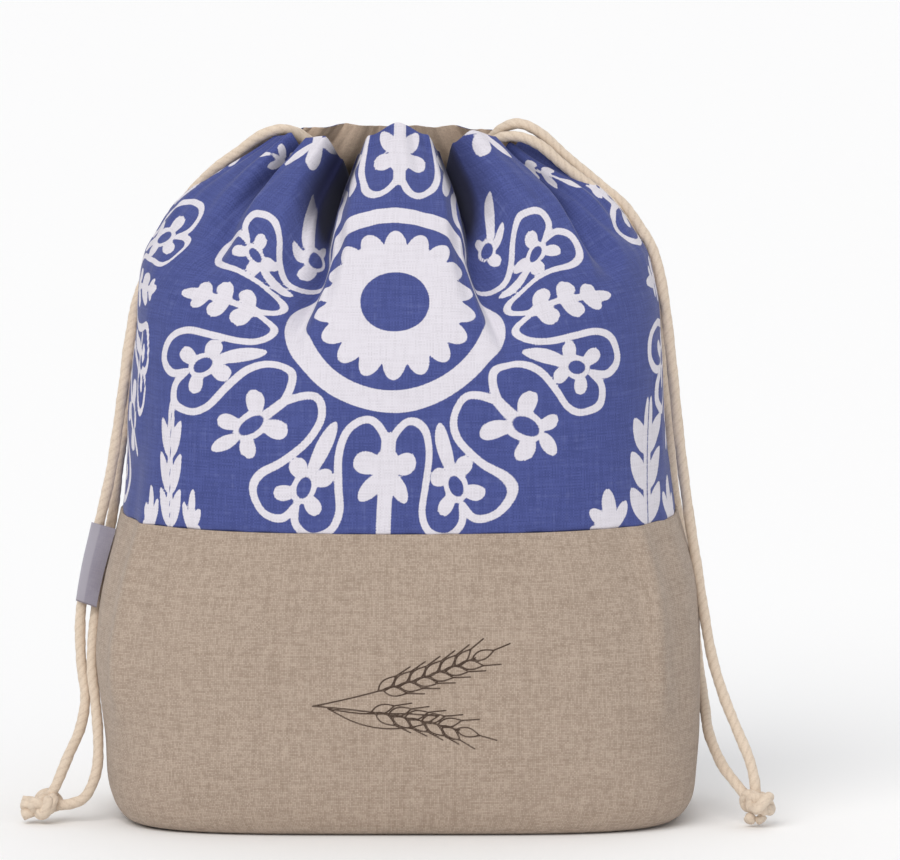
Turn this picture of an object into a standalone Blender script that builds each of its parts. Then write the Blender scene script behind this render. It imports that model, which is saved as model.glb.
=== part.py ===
# Linen bread bag with a drawstring mouth, standing on its boxed base.
# Metres, +Z up, front towards -Y. Run with: blender --background --python part.py
import math

import bmesh
import bpy
import numpy as np
from mathutils import Euler, Vector

mm = 0.001

# cloth, metres
linenThick = 1.6 * mm
printThick = 1.1 * mm
liningThick = 1.1 * mm
layerGap = 0.6 * mm
seamHeight = 130 * mm
seamGap = 0.35 * mm
seamRise = 2.5 * mm          # the panel seam climbs this much from the front centre to the sides

# cords and label
cordRadius = 2.3 * mm
cordStep = 14 * mm           # distance between the tube's points
cordSides = 2                # bevel resolution, eight sides
routeSteps = 12              # smoothing steps between two route points
labelThick = 1.0 * mm
labelDrop = 34 * mm
labelWidth = 10 * mm
labelTop = 125.0 * mm
labelFace = -10 * mm         # y of the label's middle plane
labelRoot = 1.4 * mm         # from the wall's face to the label's middle plane
labelRise = 1.5 * mm         # its outer edge stands this much higher than its root
labelBow = 0.7 * mm
labelTaper = 0.12            # share of its width that it loses towards the bottom
labelSteps = 8

# Level outline of the bag, in mm: half widths, y of its widest line, half depth, squareness
sectionColumns = ("height", "left", "right", "middle", "deep", "square")
sections = [
    (0, 107, 113, -1.0, 61.0, 4.0),
    (1.5, 114.5, 118, -1.0, 67.0, 4.0),
    (5, 119, 123, -1.0, 71.5, 3.9),
    (11, 121.8, 126.5, -1.0, 75.0, 3.8),
    (20, 124.5, 128.3, -1.5, 77.0, 3.7),
    (36, 125.8, 129, -1.5, 79.0, 3.5),
    (67, 129.8, 129.2, -2.0, 80.0, 3.3),
    (86, 128.7, 128.7, -2.0, 80.0, 3.2),
    (105, 125, 126, -2.0, 79.5, 3.1),
    (131, 118.2, 117.8, -2.0, 78.0, 2.9),
    (153, 115.6, 114.8, -1.7, 76.7, 2.8),
    (172, 114.8, 113.5, -1.3, 74.8, 2.7),
    (195, 112.5, 112.5, 0.0, 71.7, 2.6),
    (210, 110.8, 111.2, 1.3, 67.8, 2.5),
    (221, 109.8, 110.3, 2.5, 63.5, 2.45),
    (233, 108.5, 107.8, 4.0, 58.0, 2.4),
    (243, 105.5, 105.3, 6.0, 52.5, 2.35),
    (253, 101, 101, 8.4, 46.7, 2.3),
    (261, 96, 96, 10.7, 41.9, 2.3),
    (270, 89, 89.5, 13.8, 36.3, 2.3),
    (277, 82, 82.5, 16.2, 31.8, 2.3),
    (283, 74.5, 75, 18.2, 27.8, 2.3),
    (289, 66, 66, 19.9, 23.6, 2.3),
    (297, 54.5, 55, 21.0, 19.5, 2.3),
]
sectionTable = np.array(sections)

# Gathers. A row is a crest or a valley, going round from the front centre (share 0) by the right
# side (1) to the back centre (2), and by the left side (-1, -2). seam, shoulder and mouth are its
# shares there, dent and tuck its depths in mm at shoulder and mouth, drop how far the rim hangs
# below the highest point, and foot the height where the fold dies out.
foldColumns = ("seam", "shoulder", "dent", "mouth", "tuck", "drop", "foot")
folds = [
    (-2.00, -2.00, 4.0, -2.00, 10, 7, 230),
    (-1.88, -1.88, 0.5, -1.86, 5, 7, 235),
    (-1.76, -1.76, 5.0, -1.74, 12, 7, 225),
    (-1.64, -1.65, 0.5, -1.62, 1, 7, 235),
    (-1.50, -1.51, 4.0, -1.47, 11, 8, 232),
    (-1.36, -1.36, 0.5, -1.33, 1, 8, 235),
    (-1.24, -1.22, 3.0, -1.20, 6, 8, 238),
    (-1.12, -1.10, 0.5, -1.09, 1.5, 9, 240),
    (-1.00, -1.00, 1.5, -1.00, 5, 9, 240),
    (-0.88, -0.89, 0.5, -0.91, 1, 9, 240),
    (-0.78, -0.78, 2.0, -0.835, 2.2, 9, 238),
    (-0.68, -0.68, 1.2, -0.765, 1.5, 8, 238),
    (-0.60, -0.60, 5.5, -0.69, 9, 7, 232),
    (-0.53, -0.545, 0.0, -0.64, 0.5, 7, 230),
    (-0.44, -0.43, 1.2, -0.51, 0, 6, 222),
    (-0.355, -0.325, 9.0, -0.40, 12, 5, 210),
    (-0.275, -0.25, 16.0, -0.335, 25, 3, 198),
    (-0.215, -0.215, 8.0, -0.285, 13, 2, 205),
    (-0.12, -0.163, 0.3, -0.20, 2, 0.5, 225),
    (0.00, 0.0, 0.0, 0.0, 0, 0, 235),
    (0.12, 0.163, 0.3, 0.20, 2, 0.5, 225),
    (0.215, 0.22, 7.5, 0.29, 12, 1.5, 205),
    (0.28, 0.258, 15.0, 0.345, 21, 2, 196),
    (0.365, 0.335, 8.0, 0.42, 10, 3, 208),
    (0.47, 0.46, 1.0, 0.55, 0, 4, 230),
    (0.58, 0.635, 0.0, 0.68, 0.5, 6, 228),
    (0.66, 0.69, 6.5, 0.735, 9, 8, 228),
    (0.76, 0.79, 2.0, 0.81, 3, 9, 238),
    (0.84, 0.86, 2.5, 0.875, 5, 9.5, 240),
    (0.92, 0.93, 0.5, 0.94, 1.5, 9.5, 240),
    (1.00, 1.00, 1.5, 1.01, 5, 9.5, 240),
    (1.12, 1.10, 0.5, 1.09, 1.5, 9, 240),
    (1.23, 1.22, 3.5, 1.20, 6, 8, 238),
    (1.35, 1.36, 0.5, 1.34, 1, 8, 235),
    (1.49, 1.50, 4.5, 1.47, 12, 8, 230),
    (1.62, 1.64, 0.5, 1.61, 1, 7, 235),
    (1.75, 1.75, 4.0, 1.74, 11, 7, 228),
    (1.88, 1.88, 0.5, 1.88, 3, 7, 235),
    (2.00, 2.00, 4.0, 2.00, 10, 7, 230),
]
gatherHeight = 200             # the cloth starts to slide sideways into its folds here
dropHeight = 230               # and from here up the rim's sinking shows
shoulderHeight = 253
mouthHeight = 297
tuckSlope = math.radians(62)   # folds sink this far below the level as they go in

# Soft upright ridges and hollows that the boxed corners leave in the cloth, in mm
ridgeColumns = ("share", "wide", "low", "high", "lift")
ridgeFade = 25                 # mm that each takes to rise and to die out
seamFade = 25                  # mm above and below the seam that follow its rise
ridges = [
    (-0.62, 0.045, 40, 128, 1.5),
    (0.64, 0.045, 45, 134, 1.4),
    (-0.74, 0.05, 30, 170, -1.2),
    (0.75, 0.05, 30, 150, -1.1),
    (-0.80, 0.03, 150, 228, 1.3),
    (0.83, 0.03, 145, 215, 1.0),
    (-0.25, 0.10, 20, 100, -0.7),
    (0.18, 0.12, 30, 110, -0.8),
    (1.35, 0.05, 40, 130, 1.4),
    (-1.37, 0.05, 40, 130, 1.4),
]

lowerRows = [0, 1.5, 5, 11, 20, 36, 56, 80, 105, 130]
upperRows = [130, 150, 172, 194, 208, 220, 231, 242, 252, 262, 271, 280, 288.5, 297]
lowerAround = 72
columnShare = 0.036          # one mesh column for about this much share in front
frontShares = 1.05           # folds beyond this share are plainer
baseShares = (0.55, 0.92)    # rings of the base, as parts of its outline

# Cord routes in mm, from the casing to the knot
cordRoutes = {
    "cord_left_outer": [
        (-38, 21, 285), (-47, 17.5, 293), (-57.5, 15.5, 292.5), (-69, 15.5, 286.5), (-80, 15, 278.5),
        (-90, 14, 270), (-99, 12, 260.5), (-106, 9, 249.5), (-110.5, 6, 238), (-113, 3, 224),
        (-115, -1, 203), (-118, -3, 184), (-121.5, -4, 163), (-124.5, -5, 145), (-128, -5.3, 128),
        (-133, -5.5, 107), (-137, -6.5, 88), (-137, -9.5, 68), (-135, -14.5, 52),
        (-137, -21, 39), (-141.5, -27, 27.5), (-146.5, -32.2, 15.2),
    ],
    "cord_left_inner": [
        (-36, 26.5, 285), (-45, 23.5, 291.5), (-57, 21, 290.5), (-69, 21, 284), (-80, 20.5, 276.5),
        (-90, 19.5, 268), (-98.5, 18, 258.5), (-105.5, 17.5, 247), (-109.5, 18, 233),
        (-113.5, 20, 213), (-116, 20, 190), (-118, 17, 166), (-120.5, 10, 146),
        (-123, 3, 127), (-128, -0.5, 106), (-131.5, -5, 86), (-132.8, -14, 66),
        (-131.5, -19, 50), (-130.5, -26, 35), (-130, -31, 22), (-133.5, -33.2, 11.3), (-140.2, -33.8, 8),
    ],
    "cord_right_outer": [
        (37, 21, 285.5), (44.5, 18, 293.5), (52, 15.5, 297), (60.5, 15, 294), (70.5, 15, 288),
        (79.5, 15, 281), (89, 14, 273), (99, 13.5, 265), (107, 11, 255), (111.8, 7, 243.5),
        (113.5, 4, 230), (116, 0, 212), (119, -3, 192), (121.5, -5, 170), (124, -7, 148),
        (126.5, -9, 128), (130, -12, 108), (133, -16, 90), (136.5, -22, 72),
        (141, -29, 56), (146.5, -36, 41), (150.6, -40.6, 28.5), (152.3, -43.6, 19.3),
    ],
    "cord_right_inner": [
        (37, 15, 283.5), (43.5, 12.5, 290), (52, 10.5, 292), (61, 10, 289), (71, 10, 282.5),
        (80.5, 10, 275.5), (90.3, 9.5, 267.5), (97.8, 9.5, 257.3), (105.6, 12.2, 247),
        (111.5, 16.5, 232.5), (113.5, 20, 213), (115.5, 23, 190), (118, 24, 165), (121.5, 24, 135),
        (128.5, 22, 105), (132.8, 13, 80), (133.2, 0, 60), (134, -16, 44), (138, -31, 30),
        (142, -38.5, 21), (146.5, -43.2, 14.9),
    ],
}

knotTurns = 3.1
knotSwell = 0.11             # height of the turns, as a share of the knot
knotCrease = 0.03
knotEnds = 0.75              # the turns fade by this much towards the two ends
restGap = 0.1 * mm

# Knots: middle, half sizes and lie, mm and degrees
knotColumns = ("name", "middle", "half", "yaw", "tilt")
knots = [
    ("knot_left", (-151.5, -34, 7.8), (10.2, 7.8, 7.7), 6, 8),
    ("knot_right", (153.4, -45, 8.9), (7.4, 8.0, 9.0), 0, -6),
]


def smooth(x):
    x = min(1.0, max(0.0, x))
    return x * x * (3 - 2 * x)


def sectionAt(height):
    # cubic through the section rows, one column at a time
    heights = sectionTable[:, 0]
    k = int(min(max(np.searchsorted(heights, height) - 1, 0), len(heights) - 2))
    h0, h1 = heights[k], heights[k + 1]
    t = min(1.0, max(0.0, (height - h0) / (h1 - h0)))
    values = []
    for c in range(1, len(sectionColumns)):
        v = sectionTable[:, c]
        slopes = []
        for j in (k, k + 1):
            a, b = max(j - 1, 0), min(j + 1, len(v) - 1)
            slopes.append((v[b] - v[a]) / (heights[b] - heights[a]) * (h1 - h0))
        values.append(v[k] * (2 * t**3 - 3 * t**2 + 1) + v[k + 1] * (3 * t**2 - 2 * t**3)
                      + slopes[0] * (t**3 - 2 * t**2 + t) + slopes[1] * (t**3 - t**2))
    return values


outlineSteps = 400
outlineAngles = np.linspace(0, math.pi / 2, outlineSteps + 1)


def outlineCurve(half, deep, square):
    # quarter outline with the share of its length at each point
    x = half * np.sin(outlineAngles) ** (2 / square)
    y = deep * np.cos(outlineAngles) ** (2 / square)
    length = np.concatenate([[0], np.cumsum(np.hypot(np.diff(x), np.diff(y)))])
    return x, y, length / length[-1]


def outlinePoint(height, share):
    left, right, middle, deep, square = sectionAt(height)
    x, y, shares = outlineCurve(right if share >= 0 else left, deep, square)
    quarter = abs(share) if abs(share) <= 1 else 2 - abs(share)
    px = float(np.interp(quarter, shares, x))
    py = float(np.interp(quarter, shares, y))
    nx, ny = (px / x[-1]) ** (square - 1) / x[-1], (py / y[0]) ** (square - 1) / y[0]
    size = math.hypot(nx, ny)
    side = 1 if share >= 0 else -1
    front = -1 if abs(share) <= 1 else 1
    return side * px, middle + front * py, side * nx / size, front * ny / size


def foldAt(place):
    # place counts fold rows: 3.5 is half way between the fourth row and the fifth
    k = min(int(place), len(folds) - 2)
    t = place - k
    low, high = folds[k], folds[k + 1]
    ease = smooth(t)
    row = {}
    for c, name in enumerate(foldColumns):
        mix = t if name in ("seam", "shoulder", "mouth") else ease
        row[name] = low[c] + (high[c] - low[c]) * mix
    return row


def ridgeLift(height, share):
    lift = 0
    for numbers in ridges:
        ridge = dict(zip(ridgeColumns, numbers))
        across = (share - ridge["share"]) / ridge["wide"]
        along = smooth((height - ridge["low"]) / ridgeFade) * smooth((ridge["high"] - height) / ridgeFade)
        lift += ridge["lift"] * math.exp(-across * across) * along
    return lift


def wallPoint(height, row):
    # a point of the outer face, height in mm before the folds lower it
    if height <= shoulderHeight:
        gather = smooth((height - gatherHeight) / (shoulderHeight - gatherHeight))
        share = row["seam"] + (row["shoulder"] - row["seam"]) * gather
        depth = row["dent"] * smooth((height - row["foot"]) / (shoulderHeight - row["foot"]))
    else:
        rise = (height - shoulderHeight) / (mouthHeight - shoulderHeight)
        share = row["shoulder"] + (row["mouth"] - row["shoulder"]) * rise
        depth = row["dent"] + (row["tuck"] - row["dent"]) * smooth(rise)
    x, y, nx, ny = outlinePoint(height, share)
    inward = depth * math.cos(tuckSlope) - ridgeLift(height, share)
    z = height - depth * math.sin(tuckSlope)
    z -= row["drop"] * smooth((height - dropHeight) / (mouthHeight - dropHeight))
    side = min(abs(share), 2 - abs(share))
    z += seamRise / mm * smooth(side) * math.exp(-((height - seamHeight / mm) / seamFade) ** 2)
    return (x - nx * inward) * mm, (y - ny * inward) * mm, z * mm


def rowsAround():
    # a fold row for each mesh column, closer together where the front folds are
    rows = []
    for k in range(len(folds) - 1):
        width = abs(folds[k + 1][0] - folds[k][0])
        count = max(2, round(width / columnShare)) if abs(folds[k][0]) < frontShares else 2
        rows += [foldAt(k + i / count) for i in range(count)]
    return rows


def plainRow(share):
    # cloth with no fold in it
    return dict(zip(foldColumns, (share, share, 0, share, 0, 0, dropHeight)))


def makeMaterial(name, colour, roughness):
    material = bpy.data.materials.new(name)
    material.use_nodes = True
    shader = material.node_tree.nodes["Principled BSDF"]
    shader.inputs["Base Color"].default_value = (*colour, 1)
    shader.inputs["Roughness"].default_value = roughness
    shader.inputs["Metallic"].default_value = 0
    return material


def addObject(name, mesh, material):
    piece = bpy.data.objects.new(name, mesh)
    mesh.materials.append(material)
    bag.objects.link(piece)
    return piece


def loftMesh(name, rings, capped):
    # bands of quads between closed rings, first ring lowest; the face points out
    mesh = bpy.data.meshes.new(name)
    work = bmesh.new()
    rows = [[work.verts.new(p) for p in ring] for ring in rings]
    around = len(rows[0])
    for low, high in zip(rows, rows[1:]):
        for i in range(around):
            j = (i + 1) % around
            work.faces.new((low[i], low[j], high[j], high[i]))
    if capped:
        work.faces.new(rows[0][::-1])
    work.to_mesh(mesh)
    work.free()
    mesh.shade_smooth()
    return mesh


def thicken(piece, thick, side=-1):
    # side -1 grows inwards from the face, 0 both ways
    shell = piece.modifiers.new("Cloth", "SOLIDIFY")
    shell.thickness = thick
    shell.offset = side


def lowerPanel(material):
    shares = [-2 + 4 * i / lowerAround for i in range(lowerAround)]
    rows = [plainRow(s) for s in shares]
    outline = [wallPoint(0, row) for row in rows]
    rings = [[(x * share, y * share, 0) for x, y, z in outline] for share in baseShares]
    rings += [[wallPoint(height, row) for row in rows] for height in lowerRows]
    piece = addObject("lower_panel", loftMesh("lower_panel", rings, True), material)
    thicken(piece, linenThick)


def upperRings():
    rows = rowsAround()
    rings = [[wallPoint(height, row) for row in rows] for height in upperRows]
    rings[0] = [(x, y, z + seamGap) for x, y, z in rings[0]]
    return rings


def upperPanel(material):
    piece = addObject("upper_panel", loftMesh("upper_panel", upperRings(), False), material)
    thicken(piece, printThick)
    return piece


def liningPanel(material, outer):
    # the same folds, one cloth and a gap further in
    inward = printThick + layerGap
    mesh = outer.data.copy()
    mesh.name = "lining"
    mesh.materials.clear()
    moved = [v.co - v.normal * inward for v in outer.data.vertices]
    for vertex, place in zip(mesh.vertices, moved):
        vertex.co = place
    piece = addObject("lining", mesh, material)
    thicken(piece, liningThick)


def wallAtSide(height):
    # x of the left wall at the label's plane
    rows = [plainRow(-share) for share in np.linspace(0.7, 1, 61)]
    walls = [wallPoint(height, row) for row in rows]
    return min(walls, key=lambda place: abs(place[1] - labelFace))[0]


def labelTab(material):
    # a tab that stands out of the left side seam, its root along the wall
    mesh = bpy.data.meshes.new("side_label")
    work = bmesh.new()
    columns = []
    for i in range(labelSteps + 1):
        t = i / labelSteps
        z = labelTop - labelDrop * t
        root = wallAtSide(z / mm) - labelRoot
        tip = root - labelWidth * (1 - labelTaper * t)
        bow = labelBow * math.sin(math.pi * t)
        line = [(root, labelFace, z - labelRise), ((root + tip) / 2, labelFace - bow, z),
                (tip, labelFace, z + labelRise)]
        columns.append([work.verts.new(p) for p in line])
    for a, b in zip(columns, columns[1:]):
        for i in range(len(a) - 1):
            work.faces.new((a[i + 1], a[i], b[i], b[i + 1]))
    work.to_mesh(mesh)
    work.free()
    mesh.shade_smooth()
    thicken(addObject("side_label", mesh, material), labelThick, 0)


def smoothRoute(points, step):
    # Catmull-Rom curve through the route, read at even distances
    p = np.array([points[0], *points, points[-1]], float)
    fine = []
    for k in range(1, len(p) - 2):
        for t in np.linspace(0, 1, routeSteps, endpoint=False):
            a, b, c, d = p[k - 1], p[k], p[k + 1], p[k + 2]
            fine.append(0.5 * (2 * b + (c - a) * t + (2 * a - 5 * b + 4 * c - d) * t**2
                               + (3 * b - a - 3 * c + d) * t**3))
    fine.append(p[-1])
    fine = np.array(fine)
    length = np.concatenate([[0], np.cumsum(np.linalg.norm(np.diff(fine, axis=0), axis=1))])
    count = round(length[-1] * mm / step)
    places = np.linspace(0, length[-1], count + 1)
    return [tuple(np.interp(s, length, fine[:, c]) * mm for c in range(3)) for s in places]


def cordTube(name, route, material):
    curve = bpy.data.curves.new(name, "CURVE")
    curve.dimensions = "3D"
    curve.bevel_depth = cordRadius
    curve.bevel_resolution = cordSides
    curve.use_fill_caps = True
    points = smoothRoute(route, cordStep)
    spline = curve.splines.new("POLY")
    spline.points.add(len(points) - 1)
    for target, place in zip(spline.points, points):
        target.co = (*place, 1)
    addObject(name, curve, material)


def knotSolid(row, material):
    # three fat turns of cord pulled tight into a lump, flat where it rests
    knot = dict(zip(knotColumns, row))
    work = bmesh.new()
    bmesh.ops.create_uvsphere(work, u_segments=20, v_segments=12, radius=1)
    turned = Euler([math.radians(angle) for angle in (0, knot["tilt"], knot["yaw"])]).to_matrix()
    for vertex in work.verts:
        x, y, z = vertex.co
        wave = math.cos(knotTurns * math.pi * x + math.atan2(z, y))
        swell = 1 + knotSwell * wave * (1 - knotEnds * x * x)
        place = (x * (1 + knotCrease * wave), y * swell, z * swell)
        vertex.co = [part * half * mm for part, half in zip(place, knot["half"])]
        vertex.co = turned @ vertex.co
        vertex.co += Vector(knot["middle"]) * mm
        vertex.co.z = max(vertex.co.z, restGap)
    mesh = bpy.data.meshes.new(knot["name"])
    work.to_mesh(mesh)
    work.free()
    mesh.shade_smooth()
    addObject(knot["name"], mesh, material)


for old in list(bpy.data.objects):
    bpy.data.objects.remove(old, do_unlink=True)
bag = bpy.data.collections.new("linen_bread_bag")
bpy.context.scene.collection.children.link(bag)

linen = makeMaterial("natural_linen", (0.45, 0.36, 0.27), 0.9)
printed = makeMaterial("printed_linen", (0.06, 0.09, 0.36), 0.85)
satin = makeMaterial("label_satin", (0.38, 0.36, 0.45), 0.5)
cotton = makeMaterial("cotton_cord", (0.76, 0.61, 0.46), 0.85)

lowerPanel(linen)
outer = upperPanel(printed)
liningPanel(linen, outer)
labelTab(satin)
for name, route in cordRoutes.items():
    cordTube(name, route, cotton)
for row in knots:
    knotSolid(row, cotton)
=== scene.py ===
# Linen bread bag, drawn up and standing: printed gathered top over a plain linen base.
import math

import bpy
import numpy as np
from mathutils import Euler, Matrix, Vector


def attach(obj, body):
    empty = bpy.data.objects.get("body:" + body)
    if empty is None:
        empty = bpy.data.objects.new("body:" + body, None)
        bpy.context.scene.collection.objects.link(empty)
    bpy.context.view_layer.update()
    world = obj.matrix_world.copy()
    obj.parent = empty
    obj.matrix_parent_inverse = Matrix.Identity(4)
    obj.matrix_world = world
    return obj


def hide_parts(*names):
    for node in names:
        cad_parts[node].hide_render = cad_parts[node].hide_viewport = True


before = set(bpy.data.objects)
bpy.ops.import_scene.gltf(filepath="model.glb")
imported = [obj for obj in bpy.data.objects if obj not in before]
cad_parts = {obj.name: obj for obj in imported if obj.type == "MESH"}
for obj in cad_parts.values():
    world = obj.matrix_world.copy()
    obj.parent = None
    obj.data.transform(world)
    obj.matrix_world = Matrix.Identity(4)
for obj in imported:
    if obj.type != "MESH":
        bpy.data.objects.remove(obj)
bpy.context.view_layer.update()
mm = 0.001


def addObject(name, data):
    item = bpy.data.objects.new(name, data)
    bpy.context.scene.collection.objects.link(item)
    return item


# camera: long lens, seven degrees above the table

cameraSet = {
    "target": (22.3, -40.0, 169.9),   # mm, what the middle of the view looks at
    "elevation": 7.0,
    "distance": 5000.0,
    "pixelsPerMm": 2.35,
    "width": 900,
    "sensor": 36.0,
}


def placeCamera():
    s = cameraSet
    tilt = math.radians(s["elevation"])
    look = Vector((0, math.cos(tilt), -math.sin(tilt)))
    data = bpy.data.cameras.new("camera")
    data.sensor_width = s["sensor"]
    data.lens = s["pixelsPerMm"] * s["distance"] * s["sensor"] / s["width"]
    data.clip_start = 0.1
    data.clip_end = 100
    camera = addObject("camera", data)
    camera.location = Vector(s["target"]) * mm - look * s["distance"] * mm
    camera.rotation_euler = look.to_track_quat("-Z", "Y").to_euler()
    bpy.context.scene.camera = camera


placeCamera()
print("camera placed")


# mesh helpers

def addPiece(name, node, points, faces, material, uv, numbers=None):
    # a piece in place of a node; points in mm, uv two values for each, numbers point attributes by name
    mesh = bpy.data.meshes.new(name)
    mesh.from_pydata((np.reshape(points, (-1, 3)) * mm).tolist(), [], faces)
    corners = np.empty(len(mesh.loops), np.int32)
    mesh.loops.foreach_get("vertex_index", corners)
    places = np.stack([np.ravel(part) for part in uv], 1).astype(np.float32)
    mesh.uv_layers.new(name="cloth").data.foreach_set("uv", places[corners].ravel())
    for key, values in (numbers or {}).items():
        layer = mesh.attributes.new(key, "FLOAT", "POINT")
        layer.data.foreach_set("value", np.ravel(values).astype(np.float32))
    mesh.shade_smooth()
    mesh.materials.append(material)
    piece = addObject(name, mesh)
    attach(piece, "root")
    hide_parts(node)
    return piece


def gridFaces(rows, columns, wrapped=True):
    # quads between grid rows, pointing out when columns run round anticlockwise from above
    last = columns if wrapped else columns - 1
    faces = []
    for low in range(0, (rows - 1) * columns, columns):
        high = low + columns
        for c in range(last):
            d = (c + 1) % columns
            faces.append((low + c, low + d, high + d, high + c))
    return faces


def runLength(points, axis=0):
    # distance along a path, or along one axis of a grid, at each of its points
    length = np.cumsum(np.linalg.norm(np.diff(points, axis=axis), axis=-1), axis)
    return np.concatenate([0 * np.take(length, [0], axis), length], axis)


def smoothCurve(points, step):
    # Catmull-Rom curve through the points, read at even distances
    p = np.array([points[0], *points, points[-1]], float)
    t = np.linspace(0, 1, 12, endpoint=False)[:, None]
    runs = []
    for a, b, c, d in zip(p, p[1:], p[2:], p[3:]):
        runs.append(0.5 * (2 * b + (c - a) * t + (2 * a - 5 * b + 4 * c - d) * t**2
                           + (3 * b - a - 3 * c + d) * t**3))
    fine = np.vstack([*runs, p[-1:]])
    length = runLength(fine)
    places = np.linspace(0, length[-1], max(2, round(length[-1] / step) + 1))
    return np.stack([np.interp(places, length, fine[:, k]) for k in range(p.shape[1])], 1)


def smooth(x):
    x = np.clip(x, 0, 1)
    return x * x * (3 - 2 * x)


def ramp(x, start, span):
    # 0 up to the start, then rising smoothly to 1 over the span; a negative span works downwards
    return smooth((x - start) / span)


# shader node helpers: a socket knows the tree it belongs to

def addNode(tree, kind, inputs, **settings):
    # inputs by number or name: a socket is linked, anything else is set
    node = tree.nodes.new("ShaderNode" + kind)
    for key, value in settings.items():
        setattr(node, key, value)
    for key, value in inputs.items():
        if isinstance(value, bpy.types.NodeSocket):
            tree.links.new(value, node.inputs[key])
        else:
            node.inputs[key].default_value = value
    return node


def treeOf(values):
    return next(value.id_data for value in values if isinstance(value, bpy.types.NodeSocket))


def calc(op, *values):
    return addNode(treeOf(values), "Math", dict(enumerate(values)), operation=op).outputs[0]


def plus(a, b):
    return calc("ADD", a, b)


def times(a, b):
    return calc("MULTIPLY", a, b)


def joinXyz(*values):
    return addNode(treeOf(values), "CombineXYZ", dict(enumerate(values))).outputs[0]


def blend(share, first, second):
    # two colours mixed; a plain one is given as a tuple
    colours = [(*value, 1) if isinstance(value, tuple) else value for value in (first, second)]
    inputs = {0: share, 6: colours[0], 7: colours[1]}
    return addNode(share.id_data, "Mix", inputs, data_type="RGBA").outputs[2]


def grain(vector, scale, detail=2.0, rough=0.5):
    inputs = {"Vector": vector, "Scale": scale, "Detail": detail, "Roughness": rough}
    return addNode(vector.id_data, "TexNoise", inputs).outputs[0]


def spread(value, low, high, start=0.0, end=1.0):
    inputs = dict(enumerate((value, low, high, start, end)))
    return addNode(value.id_data, "MapRange", inputs, interpolation_type="SMOOTHSTEP").outputs[0]


def readNumber(tree, name):
    return addNode(tree, "Attribute", {}, attribute_name=name).outputs["Fac"]


def clothPlace(tree):
    return addNode(tree, "UVMap", {}, uv_map="cloth").outputs[0]


# materials

weaveSet = {
    "driftScale": 0.16,     # how often the threads turn aside, per mm
    "warpSeed": 3.7,
    "weftSeed": 8.1,
    "warpScale": 1.31,
    "weftScale": 1.27,
    "edgeHeight": 0.45,     # height of a thread where it dips under, of 1
    "bandFine": 0.55,
    "bandLong": 0.035,
}


def makeWeaveGroup():
    # plain weave from coordinates in mm: each thread has its own tone, which drifts along it
    s = weaveSet
    group = bpy.data.node_groups.new("plain weave", "ShaderNodeTree")
    face = group.interface
    face.new_socket("Place", in_out="INPUT", socket_type="NodeSocketVector")
    for name, value in (("Pitch", 0.8), ("Slub length", 9.0), ("Wander", 0.25)):
        face.new_socket(name, in_out="INPUT", socket_type="NodeSocketFloat").default_value = value
    for name in ("Tone", "Height", "Cloud"):
        face.new_socket(name, in_out="OUTPUT", socket_type="NodeSocketFloat")
    place, pitch, slub, wander = group.nodes.new("NodeGroupInput").outputs[:4]
    sink = group.nodes.new("NodeGroupOutput")
    # threads wander a little from straight
    drift = addNode(group, "TexNoise", {"Vector": place, "Scale": s["driftScale"], "Detail": 2.0})
    centred = addNode(group, "VectorMath", {0: drift.outputs["Color"], 1: (0.5, 0.5, 0.5)},
                      operation="SUBTRACT")
    moved = addNode(group, "VectorMath", {0: centred.outputs[0], 1: joinXyz(wander, wander, 0.0), 2: place},
                    operation="MULTIPLY_ADD")
    across, up = addNode(group, "SeparateXYZ", {0: moved.outputs[0]}).outputs[:2]
    warp = calc("DIVIDE", across, pitch)
    weft = calc("DIVIDE", up, pitch)
    warpRound, weftRound = (calc("ABSOLUTE", calc("SINE", times(way, math.pi))) for way in (warp, weft))
    # which of the two is on top: a checker of cells one pitch wide
    warpCell = calc("FLOOR", warp)
    weftCell = calc("FLOOR", weft)
    over = calc("MODULO", calc("ABSOLUTE", plus(warpCell, weftCell)), 2.0)
    under = calc("SUBTRACT", 1.0, over)
    slubRate = calc("DIVIDE", 1.0, slub)
    warpTone = grain(joinXyz(warpCell, times(up, slubRate), s["warpSeed"]), s["warpScale"], 1.0)
    weftTone = grain(joinXyz(times(across, slubRate), weftCell, s["weftSeed"]), s["weftScale"], 1.0)
    # the thread on top arches along its cell, the one below shows only in the gaps
    low, arch = s["edgeHeight"], 1 - s["edgeHeight"]
    warpHeight = times(warpRound, plus(low, times(weftRound, arch)))
    weftHeight = times(weftRound, plus(low, times(warpRound, arch)))
    # uneven beating: soft darker and lighter bands both ways
    fine, long = s["bandFine"], s["bandLong"]
    bands = [grain(joinXyz(times(across, first), times(up, second), seed), 1.0, 3.0)
             for first, second, seed in ((fine, long, 1.0), (long, fine, 5.0))]
    found = {
        "Tone": plus(times(warpTone, over), times(weftTone, under)),
        "Height": plus(times(warpHeight, over), times(weftHeight, under)),
        "Cloud": times(plus(*bands), 0.5),
    }
    for name, value in found.items():
        group.links.new(value, sink.inputs[name])
    return group


weaveGroup = makeWeaveGroup()


def useWeave(tree, weave):
    inputs = dict(zip(("Pitch", "Slub length", "Wander"), weave), Place=clothPlace(tree))
    node = addNode(tree, "Group", inputs, node_tree=weaveGroup)
    return [node.outputs[name] for name in ("Tone", "Height", "Cloud")]


surfaceNames = ("Roughness", "Sheen Weight", "Sheen Roughness", "Specular IOR Level")


def newMaterial(name):
    material = bpy.data.materials.new(name)
    material.use_nodes = True
    return material, material.node_tree


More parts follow.
